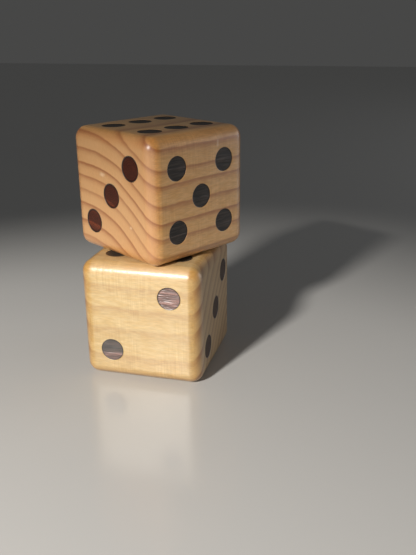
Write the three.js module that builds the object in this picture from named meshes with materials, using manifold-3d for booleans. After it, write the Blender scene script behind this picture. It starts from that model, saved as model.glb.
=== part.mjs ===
// Giant yard dice: two solid softwood dice, one standing loose and turned on top of the other.
// Millimetres, +Z up. The origin is on the ground, under the middle of the upper die.

import * as THREE from "three";
import { RoundedBoxGeometry } from "three/addons/geometries/RoundedBoxGeometry.js";
import { mergeVertices } from "three/addons/utils/BufferGeometryUtils.js";
import Module from "manifold-3d";

// Driving dimensions.
const SIDE = 88.9; // a die cut from a post dressed to 3.5 in
const EDGE_RADIUS = 9; // the routed round-over of every edge, with ball corners
const EDGE_SEGMENTS = 4; // facets from a flat face to the middle of an edge

const PIP_RADIUS = 8.45;
const PIP_SIDES = 24;
const PIP_POCKET_DEPTH = 1.6; // how far the drilled recess goes into the block
const PIP_LAYER = 0.8; // thickness of the dark layer that lies in the recess
const PIP_STEP = SIDE / 4; // from the middle of a face to its corner pips
const SIX_STEP_ALONG = 24.1; // between neighbours in a row of three
const SIX_STEP_ACROSS = 19.9; // from the middle of the face to each row of three

const GAP = 0.3; // clearance that keeps touching solids apart
const UPPER_TURN = -120.6; // degrees that the upper die is turned about its upright axis
const LOWER_SHIFT_Y = -9.5; // the lower die stands this far in front of the upper one's axis

const X = new THREE.Vector3(1, 0, 0);
const Y = new THREE.Vector3(0, 1, 0);
const Z = new THREE.Vector3(0, 0, 1);

const PINE = new THREE.MeshStandardMaterial({ color: 0xd7a566, roughness: 0.35, metalness: 0 });
const STAINED = new THREE.MeshStandardMaterial({ color: 0x3d1f17, roughness: 0.3, metalness: 0 });

// Every face with its directions, seen from outside: right, up and outward. Opposite faces add up to seven.
const FACES = [
  { number: "one", right: X, up: Y.clone().negate(), out: Z.clone().negate() },
  { number: "two", right: X, up: Z, out: Y.clone().negate() },
  { number: "three", right: Y, up: Z, out: X },
  { number: "four", right: Y.clone().negate(), up: Z, out: X.clone().negate() },
  { number: "five", right: X.clone().negate(), up: Z, out: Y },
  { number: "six", right: X, up: Y, out: Z },
];

const CENTRE = [[0, 0]];
const RISING = [[-1, -1], [1, 1]];
const FALLING = [[-1, 1], [1, -1]];

// The middle of every pip on a face, as [right, up] in millimetres from the middle of the face.
const PIPS = {
  one: spread(CENTRE),
  two: spread(RISING),
  three: spread([...RISING, ...CENTRE]),
  four: spread([...RISING, ...FALLING]),
  five: spread([...RISING, ...FALLING, ...CENTRE]),
  six: sixPips(),
};

const wasm = await Module();
wasm.setup();

function spread(places) {
  return places.map(([right, up]) => [right * PIP_STEP, up * PIP_STEP]);
}

function sixPips() {
  const row = [-SIX_STEP_ALONG, 0, SIX_STEP_ALONG];
  const sides = [-SIX_STEP_ACROSS, SIX_STEP_ACROSS];
  return sides.flatMap((up) => row.map((right) => [right, up]));
}

// A disc whose axis is Z, centred on the origin.
function disc(radius, thickness) {
  const geometry = new THREE.CylinderGeometry(radius, radius, thickness, PIP_SIDES);
  return geometry.rotateX(Math.PI / 2);
}

// The turn and shift that take a face drawn flat on the ground to its place on the die.
function faceMatrix(face) {
  const matrix = new THREE.Matrix4().makeBasis(face.right, face.up, face.out);
  return matrix.setPosition(face.out.clone().multiplyScalar(SIDE / 2));
}

function toSolid(geometry) {
  const bare = geometry.clone();
  bare.deleteAttribute("normal");
  bare.deleteAttribute("uv");
  const merged = mergeVertices(bare, 1e-3);
  const mesh = new wasm.Mesh({
    numProp: 3,
    vertProperties: merged.attributes.position.array,
    triVerts: Uint32Array.from(merged.index.array),
  });
  return new wasm.Manifold(mesh);
}

function toGeometry(solid) {
  const mesh = solid.getMesh();
  const geometry = new THREE.BufferGeometry();
  geometry.setAttribute("position", new THREE.BufferAttribute(mesh.vertProperties, 3));
  geometry.setIndex(new THREE.BufferAttribute(mesh.triVerts, 1));
  return geometry;
}

// The rounded cube, with a shallow round recess for every pip.
function blockGeometry() {
  let solid = toSolid(new RoundedBoxGeometry(SIDE, SIDE, SIDE, EDGE_SEGMENTS, EDGE_RADIUS));
  for (const face of FACES) {
    for (const [right, up] of PIPS[face.number]) {
      const cutter = disc(PIP_RADIUS, 2 * PIP_POCKET_DEPTH);
      cutter.translate(right, up, 0);
      cutter.applyMatrix4(faceMatrix(face));
      solid = solid.subtract(toSolid(cutter));
    }
  }
  return toGeometry(solid);
}

function namedMesh(name, geometry, material) {
  const mesh = new THREE.Mesh(geometry, material);
  mesh.name = name;
  return mesh;
}

const BLOCK = blockGeometry();
const PIP = disc(PIP_RADIUS - GAP, PIP_LAYER);
const PIP_HEIGHT = -PIP_POCKET_DEPTH + GAP + PIP_LAYER / 2;

// The dark layers of one face, lying in its recesses.
function facePips(prefix, face) {
  const group = new THREE.Group();
  group.applyMatrix4(faceMatrix(face));
  PIPS[face.number].forEach(([right, up], index) => {
    const pip = namedMesh(`${prefix}_${face.number}_pip_${index + 1}`, PIP, STAINED);
    pip.position.set(right, up, PIP_HEIGHT);
    group.add(pip);
  });
  return group;
}

// A whole die, centred on its own group.
function die(prefix) {
  const group = new THREE.Group();
  group.add(namedMesh(`${prefix}_block`, BLOCK, PINE));
  for (const face of FACES) {
    group.add(facePips(prefix, face));
  }
  return group;
}

const lower = die("lower");
lower.position.set(0, LOWER_SHIFT_Y, SIDE / 2);

const upper = die("upper");
upper.position.set(0, 0, SIDE + GAP + SIDE / 2);
upper.rotation.z = THREE.MathUtils.degToRad(UPPER_TURN);

const dice = new THREE.Group();
dice.add(lower, upper);

export default dice;
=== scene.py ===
"""Giant yard dice: two lacquered softwood dice, the upper one standing loose and turned on the lower.

Lengths are in metres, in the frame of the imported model. Each die also has coordinates of its own, with its
middle at the origin: X runs along the grain and out of the three-pip face, -Y out of the two-pip face, Z up.
"""

import math

import bmesh
import bpy
from mathutils import Matrix, Vector, noise
from mathutils.geometry import delaunay_2d_cdt


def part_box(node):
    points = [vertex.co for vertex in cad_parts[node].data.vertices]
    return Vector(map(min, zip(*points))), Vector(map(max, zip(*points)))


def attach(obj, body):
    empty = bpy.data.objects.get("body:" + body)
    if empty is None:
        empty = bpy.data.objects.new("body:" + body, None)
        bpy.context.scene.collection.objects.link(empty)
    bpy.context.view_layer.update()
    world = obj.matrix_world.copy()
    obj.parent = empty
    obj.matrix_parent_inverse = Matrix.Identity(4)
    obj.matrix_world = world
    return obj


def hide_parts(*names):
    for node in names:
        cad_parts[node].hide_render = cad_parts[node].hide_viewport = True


MM = 0.001
X = Vector((1, 0, 0))
Y = Vector((0, 1, 0))
Z = Vector((0, 0, 1))

# The block
EDGE_RADIUS = 9 * MM
ARC_STEPS = 8  # from a flat face to the middle of an edge
FLAT_STEPS = 28  # across the flat part of a face
MERGE_DISTANCE = 0.001 * MM
SHARP_ANGLE = math.radians(35)
GUARD_WIDTH = 1.0 * MM  # from the mouth of a recess to the ring of points round it
GRID_CLEARANCE = 0.6 * MM  # from that ring to the grid of the face

# The drilled recess of a pip, and the stained layer with its pool of lacquer that lies in it
PIP_GAP = 0.3 * MM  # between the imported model's pip and its recess
PIP_SEGMENTS = 64
RIM_ROUND = 0.22 * MM
RIM_STEPS = 4
RECESS_DEPTH = 1.6 * MM
STAIN_GAP = 0.06 * MM
STAIN_TOP = -0.1 * MM
STAIN_FLOOR = -0.27 * MM
STAIN_BOTTOM = -1.3 * MM
STAIN_RINGS = 8  # on the level part of the floor
MENISCUS_WIDTH = 0.7 * MM
MENISCUS_LEAN = math.radians(26)
MENISCUS_STEPS = 8
LIP_WIDTH = 0.05 * MM  # outside the meniscus
LIP_DROP = 0.03 * MM

# The slight unevenness that hand sanding leaves
WARP_SIZE = 0.12 * MM
WARP_LENGTH = 38 * MM
WARP_SEED = 8  # without one, the field would differ each run

FLOOR_SIZE = 6.0


# ---------------------------------------------------------------- the dice, read from the frame


def box_centre(node):
    low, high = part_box(node)
    return (low + high) / 2


class Die:
    """Where one die stands, and where its pips are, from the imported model."""

    def __init__(self, name, nodes):
        self.name = name
        self.body = name + "_die"
        self.block = name + "_block"
        self.centre = box_centre(self.block)
        places = {n: box_centre(n) for n in sorted(nodes) if n.startswith(name) and "_pip_" in n}
        threes = [place for node, place in places.items() if "_three_" in node]
        grain = sum(threes, Vector()) / len(threes) - self.centre
        self.matrix = Matrix.Translation(self.centre) @ Matrix.Rotation(math.atan2(grain.y, grain.x), 4, "Z")
        to_die = self.matrix.inverted()
        self.pips = [Pip(node, to_die @ place) for node, place in places.items()]


class Pip:
    """A pip's node, the number and face that it belongs to, and its place on that face."""

    def __init__(self, node, place):
        self.node = node
        self.number = node.split("_")[1]
        self.face = FACES[self.number]
        self.place = (place.dot(self.face.right), place.dot(self.face.up))


class Face:
    """A side of a die: the directions to the right, up and out, as seen from outside."""

    def __init__(self, right, up):
        self.right = right
        self.up = up
        self.out = right.cross(up)

    def point(self, right, up, out):
        return self.right * right + self.up * up + self.out * out


END_FACES = ("three", "four")  # cut across the grain
FACES = {
    "one": Face(X, -Y),
    "two": Face(X, Z),
    "three": Face(Y, Z),
    "four": Face(-Y, Z),
    "five": Face(-X, Z),
    "six": Face(X, Y),
}

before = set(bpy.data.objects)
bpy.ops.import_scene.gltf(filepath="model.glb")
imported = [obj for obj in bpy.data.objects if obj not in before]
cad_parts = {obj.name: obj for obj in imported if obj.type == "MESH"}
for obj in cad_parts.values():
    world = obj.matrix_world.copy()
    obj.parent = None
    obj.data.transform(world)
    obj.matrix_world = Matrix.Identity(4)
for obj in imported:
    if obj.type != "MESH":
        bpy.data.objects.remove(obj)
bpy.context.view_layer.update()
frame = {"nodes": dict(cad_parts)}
LOWER = Die("lower", frame["nodes"])
UPPER = Die("upper", frame["nodes"])

lower_low, lower_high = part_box(LOWER.block)
SIDE = lower_high.z - lower_low.z
HALF = SIDE / 2
CORE = HALF - EDGE_RADIUS  # half the width of the flat part of a face
pip_low, pip_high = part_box("lower_one_pip_1")
RECESS_RADIUS = (pip_high.x - pip_low.x) / 2 + PIP_GAP
MOUTH_RADIUS = RECESS_RADIUS + RIM_ROUND
STAIN_RADIUS = RECESS_RADIUS - STAIN_GAP


# ---------------------------------------------------------------- meshes


class Shell:
    """Points and faces of a piece, gathered in the die's own coordinates."""

    def __init__(self):
        self.mesh = bmesh.new()

    def add(self, points, faces):
        made = [self.mesh.verts.new(p) for p in points]
        for corners in faces:
            self.mesh.faces.new([made[c] for c in corners])

    def store(self, name, measure):
        """Keeps the vector measure(point) at every point, for a material to read."""
        layer = self.mesh.verts.layers.float_vector.new(name)
        for vert in self.mesh.verts:
            vert[layer] = measure(vert.co)

    def warp(self):
        """Moves every point by a smooth field, the same for a block and for what lies in it."""
        for vert in self.mesh.verts:
            vert.co += WARP_SIZE * noise.noise_vector(vert.co / WARP_LENGTH)

    def finish(self, name, die, material):
        bmesh.ops.remove_doubles(self.mesh, verts=self.mesh.verts, dist=MERGE_DISTANCE)
        bmesh.ops.recalc_face_normals(self.mesh, faces=self.mesh.faces)
        self.warp()
        data = bpy.data.meshes.new(name)
        self.mesh.to_mesh(data)
        self.mesh.free()
        data.shade_smooth()
        data.set_sharp_from_angle(angle=SHARP_ANGLE)
        data.materials.append(material)
        piece = bpy.data.objects.new(name, data)
        piece.matrix_world = die.matrix
        bpy.context.scene.collection.objects.link(piece)
        return piece


def grid_cells(columns, rows, wanted):
    """Corner numbers of the wanted cells of a grid whose points are listed row by row."""
    cells = []
    for row in range(rows - 1):
        for column in range(columns - 1):
            if wanted(column, row):
                first = row * columns + column
                cells.append((first, first + 1, first + columns + 1, first + columns))
    return cells


def flat_lines():
    """The grid lines across the flat part of a face."""
    return [CORE * (2 * step / FLAT_STEPS - 1) for step in range(FLAT_STEPS + 1)]


def stations():
    """Each grid line across a face: its place on the flat part, and its lean into the round edge."""
    leans = [math.radians(45) * step / ARC_STEPS for step in range(1, ARC_STEPS + 1)]
    before = [(-CORE, -lean) for lean in reversed(leans)]
    after = [(CORE, lean) for lean in leans]
    return before + [(place, 0.0) for place in flat_lines()] + after


def add_rounded_border(shell, face):
    """The half of every round edge, and the third of every corner, that belong to a face."""
    lines = stations()
    points = []
    for place_up, lean_up in lines:
        for place_right, lean_right in lines:
            lean = Vector((math.tan(lean_right), math.tan(lean_up), 1)).normalized()
            right = place_right + EDGE_RADIUS * lean.x
            up = place_up + EDGE_RADIUS * lean.y
            points.append(face.point(right, up, CORE + EDGE_RADIUS * lean.z))
    flat = range(ARC_STEPS, ARC_STEPS + FLAT_STEPS)
    border = grid_cells(len(lines), len(lines), lambda a, b: a not in flat or b not in flat)
    shell.add(points, border)


def circle(radius, middle=(0.0, 0.0)):
    turns = [math.tau * step / PIP_SEGMENTS for step in range(PIP_SEGMENTS)]
    return [(middle[0] + radius * math.cos(t), middle[1] + radius * math.sin(t)) for t in turns]


def distance(a, b):
    return math.hypot(a[0] - b[0], a[1] - b[1])


def add_flat_part(shell, face, holes):
    """The flat middle of a face, triangulated round the mouths of its recesses."""
    guard = MOUTH_RADIUS + GUARD_WIDTH
    clear = guard + GRID_CLEARANCE
    lines = flat_lines()
    grid = [(right, up) for up in lines for right in lines]
    points = [p for p in grid if all(distance(p, hole) > clear for hole in holes)]
    edges = []
    for hole in holes:
        first = len(points)
        points += circle(MOUTH_RADIUS, hole)
        edges += [(first + step, first + (step + 1) % PIP_SEGMENTS) for step in range(PIP_SEGMENTS)]
        points += circle(guard, hole)
    flat_points = [Vector(p) for p in points]
    found, _, triangles, *_ = delaunay_2d_cdt(flat_points, edges, [], 0, MERGE_DISTANCE / 10)

    def on_wood(triangle):
        middle = sum((found[c] for c in triangle), Vector((0, 0))) / 3
        return all(distance(middle, hole) > MOUTH_RADIUS for hole in holes)

    kept = [t for t in triangles if on_wood(t)]
    shell.add([face.point(p.x, p.y, HALF) for p in found], kept)


def add_turned(shell, face, middle, profile):
    """A turned surface on a face. The profile is (radius, height over the face) and may end on the axis."""
    rings = [(radius, height) for radius, height in profile if radius > 0]
    points = []
    for radius, height in rings:
        points += [face.point(right, up, HALF + height) for right, up in circle(radius, middle)]
    faces = []
    for ring in range(len(rings) - 1):
        for step in range(PIP_SEGMENTS):
            after = (step + 1) % PIP_SEGMENTS
            near, far = ring * PIP_SEGMENTS, (ring + 1) * PIP_SEGMENTS
            faces.append((near + step, near + after, far + after, far + step))
    shell.add(points, faces)
    for end, beside in ((profile[0], profile[1]), (profile[-1], profile[-2])):
        if end[0] == 0:
            hub = face.point(middle[0], middle[1], HALF + end[1])
            ring = [face.point(r, u, HALF + beside[1]) for r, u in circle(beside[0], middle)]
            fan = [(0, 1 + step, 1 + (step + 1) % PIP_SEGMENTS) for step in range(PIP_SEGMENTS)]
            shell.add([hub] + ring, fan)


def recess_profile():
    """From the mouth of a recess, over its rounded rim, down the wall and in to the middle."""
    rim = []
    for step in range(RIM_STEPS + 1):
        lean = math.radians(90) * step / RIM_STEPS
        rim.append((MOUTH_RADIUS - RIM_ROUND * math.sin(lean), RIM_ROUND * (math.cos(lean) - 1)))
    foot = [(RECESS_RADIUS, -RECESS_DEPTH), (RECESS_RADIUS / 2, -RECESS_DEPTH), (0, -RECESS_DEPTH)]
    return rim + foot


def stain_profile():
    """From the middle of the pip's floor, up the pooled lacquer at its rim, and down and in underneath."""
    inner = STAIN_RADIUS - MENISCUS_WIDTH
    profile = [(inner * ring / STAIN_RINGS, STAIN_FLOOR) for ring in range(STAIN_RINGS)]
    rise = STAIN_TOP - STAIN_FLOOR
    for step in range(MENISCUS_STEPS + 1):
        lean = MENISCUS_LEAN * step / MENISCUS_STEPS
        share = math.sin(lean) / math.sin(MENISCUS_LEAN)
        lift = (1 - math.cos(lean)) / (1 - math.cos(MENISCUS_LEAN))
        profile.append((inner + (MENISCUS_WIDTH - LIP_WIDTH) * share, STAIN_FLOOR + rise * lift))
    profile.append((STAIN_RADIUS, STAIN_TOP - LIP_DROP))
    profile.append((STAIN_RADIUS, STAIN_BOTTOM))
    profile.append((STAIN_RADIUS / 2, STAIN_BOTTOM))
    profile.append((0, STAIN_BOTTOM))
    return profile


def place_on(face, point):
    """Where a point of the die lies on a face: to the right, up and out, from the face's middle."""
    return Vector((point.dot(face.right), point.dot(face.up), point.dot(face.out) - HALF))


def make_block(die, material):
    shell = Shell()
    for number, face in FACES.items():
        places = [pip.place for pip in die.pips if pip.number == number]
        add_rounded_border(shell, face)
        add_flat_part(shell, face, places)
        for place in places:
            add_turned(shell, face, place, recess_profile())

    soaked = [pip for pip in die.pips if pip.number in END_FACES]

    def wetness(point):
        """(1, 0, 0) in and on the rim of a recess in the end grain, where the stain soaks past the cut."""
        for pip in soaked:
            right, up, out = place_on(pip.face, point)
            if out > -2 * RECESS_DEPTH and distance((right, up), pip.place) < MOUTH_RADIUS + MERGE_DISTANCE:
                return X
        return Vector()

    shell.store("wetness", wetness)
    piece = shell.finish(die.name + "_die_block", die, material)
    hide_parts(die.block)
    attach(piece, die.body)


def make_pip(die, pip, material):
    shell = Shell()
    add_turned(shell, pip.face, pip.place, stain_profile())
    middle = Vector((*pip.place, 0))
    shell.store("from_middle", lambda point: (place_on(pip.face, point) - middle) / RECESS_RADIUS)
    piece = shell.finish(pip.node.replace("_pip_", "_stain_"), die, material)
    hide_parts(pip.node)
    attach(piece, die.body)


# ---------------------------------------------------------------- shader arithmetic


class Value:
    """A number or colour inside a shader tree. Arithmetic on it adds Math nodes."""

    def __init__(self, shader, socket):
        self.shader = shader
        self.socket = socket

    def __add__(self, other):
        return self.shader.math("ADD", self, other)

    def __sub__(self, other):
        return self.shader.math("SUBTRACT", self, other)

    def __rsub__(self, other):
        return self.shader.math("SUBTRACT", other, self)

    def __mul__(self, other):
        return self.shader.math("MULTIPLY", self, other)

    def __truediv__(self, other):
        return self.shader.math("DIVIDE", self, other)

    __radd__ = __add__
    __rmul__ = __mul__


class Shader:
    """A material under construction."""

    def __init__(self, name):
        self.material = bpy.data.materials.new(name)
        self.material.use_nodes = True
        self.tree = self.material.node_tree
        self.tree.nodes.clear()

    def add(self, kind, **settings):
        node = self.tree.nodes.new("ShaderNode" + kind)
        for key, value in settings.items():
            setattr(node, key, value)
        return node

    def feed(self, socket, value):
        if isinstance(value, Value):
            self.tree.links.new(value.socket, socket)
        elif isinstance(value, tuple) and socket.type == "RGBA":
            socket.default_value = (*value, 1.0)
        else:
            socket.default_value = value

    def math(self, operation, *values, clamp=False):
        node = self.add("Math", operation=operation, use_clamp=clamp)
        for socket, value in zip(node.inputs, values):
            self.feed(socket, value)
        return Value(self, node.outputs[0])

    def vector(self, x, y, z):
        node = self.add("CombineXYZ")
        for socket, value in zip(node.inputs, (x, y, z)):
            self.feed(socket, value)
        return Value(self, node.outputs[0])

    def attribute(self, name):
        """The right, up and out parts of a vector that the mesh keeps at its points."""
        node = self.add("Attribute", attribute_name=name)
        return self.split(Value(self, node.outputs["Vector"]))

    def split(self, vector):
        node = self.add("SeparateXYZ")
        self.feed(node.inputs[0], vector)
        return [Value(self, socket) for socket in node.outputs]

    def noise(self, place, detail=2.0, roughness=0.5):
        """Smooth noise from 0 to 1, about 0.5, with features about one unit across."""
        node = self.add("TexNoise")
        self.feed(node.inputs["Vector"], place)
        self.feed(node.inputs["Scale"], 1.0)
        self.feed(node.inputs["Detail"], detail)
        self.feed(node.inputs["Roughness"], roughness)
        return Value(self, node.outputs[0])

    def steps(self, value, low, high, to_low=0.0, to_high=1.0):
        """Eases from to_low to to_high as the value goes from low to high."""
        node = self.add("MapRange", interpolation_type="SMOOTHSTEP")
        for socket, number in zip(node.inputs, (value, low, high, to_low, to_high)):
            self.feed(socket, number)
        return Value(self, node.outputs[0])

    def ramp(self, value, stops):
        """The height of a line through (place, height) stops, eased between them."""
        node = self.add("ValToRGB")
        node.color_ramp.interpolation = "EASE"
        elements = node.color_ramp.elements
        while len(elements) < len(stops):
            elements.new(0.5)
        for element, (place, height) in zip(elements, stops):
            element.position = place
            element.color = (height, height, height, 1)
        self.feed(node.inputs[0], value)
        return Value(self, node.outputs[0])

    def blend(self, share, a, b, mode="MIX"):
        """Blends two colours. The colour sockets of a Mix node are inputs 6 and 7, and output 2."""
        node = self.add("Mix", data_type="RGBA", blend_type=mode)
        self.feed(node.inputs[0], share)
        self.feed(node.inputs[6], a)
        self.feed(node.inputs[7], b)
        return Value(self, node.outputs[2])

    def bump(self, height, depth, strength=1.0, over=None):
        node = self.add("Bump")
        self.feed(node.inputs["Strength"], strength)
        self.feed(node.inputs["Distance"], depth)
        self.feed(node.inputs["Height"], height)
        if over is not None:
            self.feed(node.inputs["Normal"], over)
        return Value(self, node.outputs[0])

    def surface(self, **inputs):
        """Ends the material with a Principled shader. Input names have _ for a space."""
        shader = self.add("BsdfPrincipled")
        for name, value in inputs.items():
            self.feed(shader.inputs[name.replace("_", " ")], value)
        output = self.add("OutputMaterial")
        self.tree.links.new(shader.outputs[0], output.inputs["Surface"])
        return self.material


# ---------------------------------------------------------------- wood

# What the colour of the wood is multiplied by
STREAK_TINT = (0.90, 0.76, 0.58)
BLOTCH_TINT = (0.95, 0.84, 0.70)
FLECK_TINT = (0.92, 0.85, 0.69)
END_TINT = (0.86, 0.82, 0.87)
# round edges: partly the wood's own warmer tone, partly painted shade
EDGE_TONE_AND_SHADE = (0.97, 0.78, 0.55)
# pale rings on the drill marks: painted glint
DRILL_MARK_GLINT = (2.2, 2.0, 1.9)

# What it is blended to
NICK_COLOUR = (0.95, 0.86, 0.70)
SOAKED_COLOUR = (0.02, 0.008, 0.005)
ORANGE_COLOUR = (0.115, 0.026, 0.009)
LONG_STAIN_COLOUR = (0.017, 0.0125, 0.0095)
# dark ring at a pip's edge: partly stain pooled at the wall, partly painted shade
STAIN_RIM_AND_SHADE = (0.012, 0.006, 0.005)


class Wood:
    """The growth of one block of softwood, in sides of its die.

    level(shader, right, up) is how far out a point is from the heart of the tree, on the end grain.
    lines are the levels at which a year ended, from the heart outwards. season is the share of late
    wood at some times of the year, from 0 to 1, and long_contrast is how much of it shows along the
    grain. end_stain colours an end-grain pip, and late wood shows through it below the level
    orange_below. In the pips of the two and the five, late wood is ragged and takes the colour
    torn_and_sheen: that grain's own colour, in the lower die paler by painted sheen. So does all the
    wood above the level torn_and_sheen_above, a patch of painted sheen. nicks are pale dents: the
    (along, right, up) middle and reach of each.
    """

    def __init__(self, die, level, lines, **looks):
        self.die = die
        self.level = level
        self.lines = lines
        self.season = looks["season"]
        self.early = looks["early"]
        self.late = looks["late"]
        self.long_contrast = looks["long_contrast"]
        self.end_stain = looks["end_stain"]
        self.orange_below = looks["orange_below"]
        self.torn_and_sheen = looks["torn_and_sheen"]
        self.torn_and_sheen_above = looks["torn_and_sheen_above"]
        self.pip_shine = looks["pip_shine"]
        self.nicks = looks["nicks"]


def upper_level(shader, right, up):
    """Rings that lie level on the left, and bend down to a steady slope towards the five-pip face."""
    bend_at = 0.053
    bend_width = 0.14
    bend = shader.math("LOGARITHM", shader.math("EXPONENT", (right - bend_at) / bend_width) + 1.0, math.e)
    dip = bend * 0.126
    spread = dip * 0.57 + 1.0  # the rings lie further apart as they dip
    return (up + dip * 1.08) / spread


def lower_level(shader, right, up):
    """Rings round a heart far out to the lower right."""
    heart_right, heart_up = 2.3, -2.3
    across = right - heart_right
    above = up - heart_up
    return shader.math("SQRT", across * across + above * above)


UPPER_WOOD = Wood(
    UPPER,
    upper_level,
    (-0.64, -0.52, -0.386, -0.257, -0.107, 0.01, 0.131, 0.235, 0.35, 0.48, 0.573, 0.70, 0.83),
    season=(
        (0, 0.3),
        (0.05, 0.05),
        (0.45, 0.08),
        (0.68, 0.28),
        (0.82, 0.65),
        (0.91, 1),
        (0.97, 0.95),
        (1, 0.3),
    ),
    early=(0.70, 0.445, 0.205),
    late=(0.40, 0.168, 0.058),
    long_contrast=1.0,
    end_stain=(0.036, 0.0070, 0.0022),
    orange_below=0.06,
    torn_and_sheen=(0.045, 0.033, 0.027),
    torn_and_sheen_above=9.0,  # nowhere in the block
    pip_shine=0.36,
    nicks=(
        ((0.50, -0.104, 0.156), (0.02, 0.048, 0.026)),
        ((0.50, 0.229, -0.215), (0.02, 0.020, 0.018)),
        ((-0.182, 0.50, 0.385), (0.017, 0.02, 0.05)),
    ),
)
LOWER_WOOD = Wood(
    LOWER,
    lower_level,
    (2.55, 2.65, 2.75, 2.85, 2.95, 3.045, 3.14, 3.24, 3.345, 3.45, 3.595, 3.711, 3.841, 3.97),
    season=((0, 0.3), (0.06, 0.08), (0.35, 0.12), (0.6, 0.45), (0.8, 0.9), (0.93, 1), (1, 0.35)),
    early=(0.585, 0.45, 0.22),
    late=(0.29, 0.13, 0.02),
    long_contrast=0.39,
    end_stain=(0.036, 0.0165, 0.0085),
    orange_below=0.0,  # nowhere in the block
    # Paler than in the upper die: the ragged grain's own colour with painted sheen in it
    torn_and_sheen=(0.18, 0.086, 0.07),
    # Above this level a whole pip is paler: a patch of painted sheen
    torn_and_sheen_above=3.69,
    pip_shine=1.0,
    nicks=(),
)


class Grain:
    """The grain of a wood as shader values: the same at a point whether it is on a face or in a pip."""

    def __init__(self, shader, wood):
        self.shader = shader
        self.wood = wood
        here = shader.add("TexCoord")
        self.along, self.right, self.up = self.in_sides(Value(shader, here.outputs["Object"]))
        self.facing = shader.split(Value(shader, here.outputs["Normal"]))
        self.end = self.end_share()
        self.level = wood.level(shader, self.right, self.up)
        self.number = self.ring_number()
        self.late = self.late_share()
        self.fibre = self.fibres(15, 120, detail=3)

    def in_sides(self, place):
        shader = self.shader
        scaled = shader.add("VectorMath", operation="SCALE")
        shader.feed(scaled.inputs[0], place)
        shader.feed(scaled.inputs["Scale"], 1 / SIDE)
        return shader.split(Value(shader, scaled.outputs[0]))

    def fibres(self, along, across, detail):
        """Noise drawn out along the grain, with this many features to a side each way."""
        place = self.shader.vector(self.along * along, self.right * across, self.up * across)
        return self.shader.noise(place, detail)

    def rays(self):
        """Fine pale lines on the end grain, square to the rings."""
        place = self.shader.vector(self.along * 4, self.right * 150, self.level * 16)
        return self.shader.noise(place, 2)

    def ring_number(self):
        """Counts the years: a whole number at every line."""
        shader = self.shader
        sway = (self.fibres(0.9, 2.2, detail=1) - 0.5) * 0.035
        shiver = (self.fibres(6, 13, detail=2) - 0.5) * 0.012
        lines = self.wood.lines
        curve = shader.add("FloatCurve")
        points = curve.mapping.curves[0].points
        while len(points) < len(lines):
            points.new(0.5, 0.5)
        span = lines[-1] - lines[0]
        for count, line in enumerate(lines):
            points[count].location = ((line - lines[0]) / span, count / (len(lines) - 1))
        curve.mapping.update()
        shader.feed(curve.inputs["Value"], (self.level + sway + shiver - lines[0]) / span)
        return Value(shader, curve.outputs[0]) * (len(lines) - 1)

    def late_share(self):
        """0 in the pale early wood, 1 in the dark late wood just before a line, which ends it sharply."""
        shader = self.shader
        random = shader.add("TexWhiteNoise", noise_dimensions="1D")
        shader.feed(random.inputs["W"], shader.math("FLOOR", self.number))
        vigour = Value(shader, random.outputs[0]) * 0.35 + 0.65
        season = shader.ramp(shader.math("FRACT", self.number), self.wood.season)
        return season * vigour

    def end_share(self):
        """1 on the two faces that cut across the grain, 0 on the four along it."""
        return self.shader.steps(self.shader.math("ABSOLUTE", self.facing[0]), 0.35, 0.9)

    def edge_share(self):
        """1 in the middle of a round edge, 0 on the flat faces."""
        shader = self.shader
        total = -2.0
        flat_end = CORE / SIDE
        for place in (self.along, self.right, self.up):
            reach = shader.math("ABSOLUTE", place)
            total = shader.steps(reach, flat_end - 0.02, flat_end + 0.07) + total
        return shader.math("MAXIMUM", total + 1.0, 0.0)

    def chatter(self):
        """Faint patches of close marks across the grain, from -1 to 1, as a planer leaves."""
        shader = self.shader
        marks = shader.steps(self.fibres(100, 5, detail=1), 0.3, 0.7, -1.0, 1.0)
        place = shader.vector(self.along * 3.2 + 7.0, self.right * 2.5, self.up * 2.5)
        return marks * shader.steps(shader.noise(place, 1), 0.42, 0.6)

    def nicked(self):
        """1 in the middle of a nick, 0 outside them all, with a ragged edge."""
        shader = self.shader
        total = 0.0
        for middle, reach in self.wood.nicks:
            parts = zip((self.along, self.right, self.up), middle, reach)
            offsets = [(value - centre) / size for value, centre, size in parts]
            away = shader.math("SQRT", sum(offset * offset for offset in offsets))
            total = shader.steps(away + self.fibre, 0.7, 1.4, 1.0, 0.0) + total
        return total


def grey(shader, value):
    return shader.vector(value, value, value)


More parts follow.
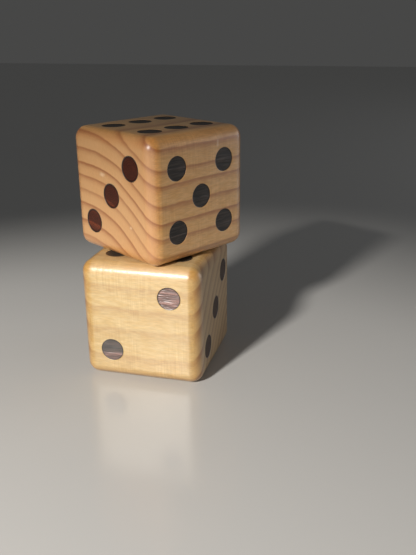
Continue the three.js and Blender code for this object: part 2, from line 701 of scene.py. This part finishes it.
def make_pine(wood):
    """Clear-lacquered softwood."""
    shader = Shader(wood.die.name + "_pine")
    grain = Grain(shader, wood)
    end = grain.end
    long = 1.0 - end

    late = grain.late * (1.0 - long * (1 - wood.long_contrast))
    colour = shader.blend(late, wood.early, wood.late)
    streak = grain.fibres(1.6, 42, detail=2)
    colour = shader.blend(streak * 0.45, colour, STREAK_TINT, "MULTIPLY")
    pores = shader.steps(grain.fibre, 0.30, 0.72, 0.88, 1.08)
    rays = shader.steps(grain.rays(), 0.35, 0.68, 0.97, 1.03)
    texture = shader.blend(end, grey(shader, pores), grey(shader, rays))
    colour = shader.blend(1.0, colour, texture, "MULTIPLY")
    blotch = shader.steps(grain.fibres(1.2, 3.1, detail=2), 0.35, 0.7)
    colour = shader.blend(blotch * 0.35, colour, BLOTCH_TINT, "MULTIPLY")
    fleck = shader.steps(grain.fibres(9, 34, detail=3), 0.36, 0.66)
    colour = shader.blend(fleck * long, colour, FLECK_TINT, "MULTIPLY")
    colour = shader.blend(end, colour, END_TINT, "MULTIPLY")
    # Round edges turn darker and more orange: partly the wood's tone there, partly painted shade.
    colour = shader.blend(grain.edge_share() * 0.6, colour, EDGE_TONE_AND_SHADE, "MULTIPLY")
    chatter = grain.chatter() * long
    planed = shader.vector(chatter * 0.06 + 1.0, chatter * 0.09 + 1.0, chatter * 0.14 + 1.0)
    colour = shader.blend(1.0, colour, planed, "MULTIPLY")
    colour = shader.blend(grain.nicked() * 0.3, colour, NICK_COLOUR)
    wetness = shader.attribute("wetness")[0]
    colour = shader.blend(shader.steps(wetness, 0.68, 0.9), colour, SOAKED_COLOUR)

    relief = grain.fibre * 0.6 + grain.late * 0.3 + chatter * 0.07
    here = shader.vector(grain.along * 34, grain.right * 34, grain.up * 34)
    around = shader.add("Tangent", direction_type="RADIAL", axis="X")
    return shader.surface(
        Base_Color=colour,
        Roughness=0.5,
        Specular_IOR_Level=0.9,
        Anisotropic=long * 0.8,
        Tangent=Value(shader, around.outputs[0]),
        Normal=shader.bump(relief, 0.12 * MM, 0.7),
        Coat_Weight=1.0,
        Coat_Roughness=0.32,
        Coat_IOR=1.5,
        Coat_Tint=(1.0, 0.97, 0.91),
        Coat_Normal=shader.bump(shader.noise(here, 1) + relief * 0.5, 0.15 * MM, 0.7),
    )


def make_end_stain(wood):
    """End grain in a drilled recess: ring marks made paler by painted glint, and orange late wood through
    the stain.
    """
    shader = Shader(wood.die.name + "_end_stain")
    grain = Grain(shader, wood)
    across, rise, _ = shader.attribute("from_middle")
    radius = shader.math("SQRT", across * across + rise * rise)

    bare = shader.steps(grain.level, wood.orange_below - 0.03, wood.orange_below + 0.03, 1.0, 0.06)
    colour = shader.blend(grain.late * bare, wood.end_stain, ORANGE_COLOUR)
    drill_rings_and_glint = shader.math("SINE", radius * 36 + grain.fibres(6, 6, detail=2) * 11) * 0.5 + 0.5
    # The rings of the drill marks are made paler: painted glint. Their relief, bumped below, is real.
    colour = shader.blend(drill_rings_and_glint * 0.45, colour, DRILL_MARK_GLINT, "MULTIPLY")
    thirst = shader.steps(grain.fibre, 0.35, 0.7, 0.75, 1.3)
    colour = shader.blend(1.0, colour, grey(shader, thirst), "MULTIPLY")
    # A dark ring at the pip's edge: partly stain pooled against the wall, partly painted shade.
    colour = shader.blend(shader.steps(radius, 0.86, 0.96) * 0.75, colour, STAIN_RIM_AND_SHADE)
    relief = drill_rings_and_glint * 0.6 + grain.fibre * 0.3
    return shader.surface(
        Base_Color=colour,
        Roughness=0.5,
        Specular_IOR_Level=0.25,
        Normal=shader.bump(relief, 0.12 * MM, 0.6),
        Coat_Weight=0.35,
        Coat_Roughness=0.2,
        Coat_IOR=1.5,
        Coat_Normal=shader.bump(relief, 0.06 * MM, 0.5),
    )


def make_long_stain(wood):
    """Grain along the floor of the recess, ragged into ridges that catch the light, paler partly by painted
    sheen.
    """
    shader = Shader(wood.die.name + "_long_stain")
    grain = Grain(shader, wood)
    across, rise, _ = shader.attribute("from_middle")
    radius = shader.math("SQRT", across * across + rise * rise)

    # Ragged late wood, and above a level a patch of painted sheen, take the paler colour.
    all_torn_and_sheen = shader.steps(grain.level, wood.torn_and_sheen_above - 0.01, wood.torn_and_sheen_above + 0.01)
    level_face = shader.steps(shader.math("ABSOLUTE", grain.facing[2]), 0.5, 0.9)
    torn_and_sheen = shader.math("MAXIMUM", grain.late * 0.8, all_torn_and_sheen * 0.85) * (1.0 - level_face)
    splinters = grain.fibres(6, 66, detail=2)
    colour = shader.blend(torn_and_sheen, LONG_STAIN_COLOUR, wood.torn_and_sheen)
    thirst = shader.steps(splinters, 0.36, 0.66, 0.5, 1.8)
    colour = shader.blend(1.0, colour, grey(shader, thirst), "MULTIPLY")
    # A dark ring at the pip's edge: partly stain pooled against the wall, partly painted shade.
    colour = shader.blend(shader.steps(radius, 0.88, 0.97), colour, STAIN_RIM_AND_SHADE)
    ridges = splinters * (torn_and_sheen * 0.75 + 0.25)
    around = shader.add("Tangent", direction_type="RADIAL", axis="X")
    return shader.surface(
        Base_Color=colour,
        Roughness=0.5,
        Anisotropic=0.3,
        Specular_IOR_Level=wood.pip_shine,
        Tangent=Value(shader, around.outputs[0]),
        Normal=shader.bump(ridges, 1.05 * MM, 1.0),
        Coat_Weight=wood.pip_shine * 0.7,
        Coat_Roughness=0.3,
        Coat_IOR=1.5,
        Coat_Normal=shader.bump(ridges, 0.95 * MM, 1.0),
    )


# ---------------------------------------------------------------- the studio


def make_floor():
    shader = Shader("studio_floor")
    material = shader.surface(Base_Color=(0.55, 0.55, 0.54), Roughness=0.19)
    data = bpy.data.meshes.new("studio_floor")
    reach = FLOOR_SIZE / 2
    corners = [(-reach, -reach, 0), (reach, -reach, 0), (reach, reach, 0), (-reach, reach, 0)]
    data.from_pydata(corners, [], [(0, 1, 2, 3)])
    data.materials.append(material)
    floor = bpy.data.objects.new("studio_floor", data)
    floor.location.z = -WARP_SIZE  # the lowest that the unevenness can reach
    bpy.context.scene.collection.objects.link(floor)


def look(light, place, target):
    light.location = place
    light.rotation_euler = (place - target).to_track_quat("Z", "Y").to_euler()
    bpy.context.scene.collection.objects.link(light)


def make_key():
    """A warm round light at the front left, aimed low, so that its cone ends at the top of the stack."""
    data = bpy.data.lights.new("key", "SPOT")
    data.energy = 103
    data.color = (1.0, 0.95, 0.89)
    data.shadow_soft_size = 0.08
    data.spot_size = math.radians(54.9)
    data.spot_blend = 0.065
    away = 1.4
    direction = Vector((-0.25, -0.85, 0.465)).normalized()
    place = Vector((0, 0, SIDE)) + away * direction
    look(bpy.data.objects.new("key", data), place, Vector((-0.17, -0.65, 0)))


def make_softbox(name, direction, away, size, power, colour):
    """A square light that looks at the middle of the stack."""
    target = Vector((0, 0, SIDE))
    place = target + away * Vector(direction).normalized()
    data = bpy.data.lights.new(name, "AREA")
    data.shape = "SQUARE"
    data.size = size
    data.energy = power
    data.color = colour
    look(bpy.data.objects.new(name, data), place, target)


def make_world():
    world = bpy.data.worlds.new("studio")
    world.use_nodes = True
    background = world.node_tree.nodes["Background"]
    background.inputs["Color"].default_value = (1.0, 1.0, 0.98, 1)
    background.inputs["Strength"].default_value = 0.063
    bpy.context.scene.world = world


def make_camera():
    """Over half a metre away, a little to the right of the front, and looking down at the stack."""
    data = bpy.data.cameras.new("camera")
    data.lens = 45.74
    data.sensor_width = 36
    camera = bpy.data.objects.new("camera", data)
    look_down = 20.81
    turn = Matrix.Rotation(math.radians(15.22), 4, "Z")
    tilt = Matrix.Rotation(math.radians(90 - look_down), 4, "X")
    roll = Matrix.Rotation(math.radians(-0.60), 4, "Z")
    foot = Vector((LOWER.centre.x, LOWER.centre.y, 0))
    sides_away = Vector((1.886, -5.332, 2.863))
    place = foot + SIDE * sides_away
    camera.matrix_world = Matrix.Translation(place) @ turn @ tilt @ roll
    bpy.context.scene.collection.objects.link(camera)
    bpy.context.scene.camera = camera


bpy.context.scene.view_settings.view_transform = "Standard"
make_camera()
make_world()
make_floor()
make_key()
make_softbox("back_fill", (0.85, 0.5, 0.14), away=1.8, size=1.0, power=6.0, colour=(0.97, 0.97, 1.0))
make_softbox("front_fill", (0.4, -0.9, 0.1), away=1.5, size=0.6, power=1.1, colour=(0.96, 0.98, 1.0))

noise.seed_set(WARP_SEED)
for wood in (LOWER_WOOD, UPPER_WOOD):
    make_block(wood.die, make_pine(wood))
    end_stain = make_end_stain(wood)
    long_stain = make_long_stain(wood)
    for pip in wood.die.pips:
        make_pip(wood.die, pip, end_stain if pip.number in END_FACES else long_stain)
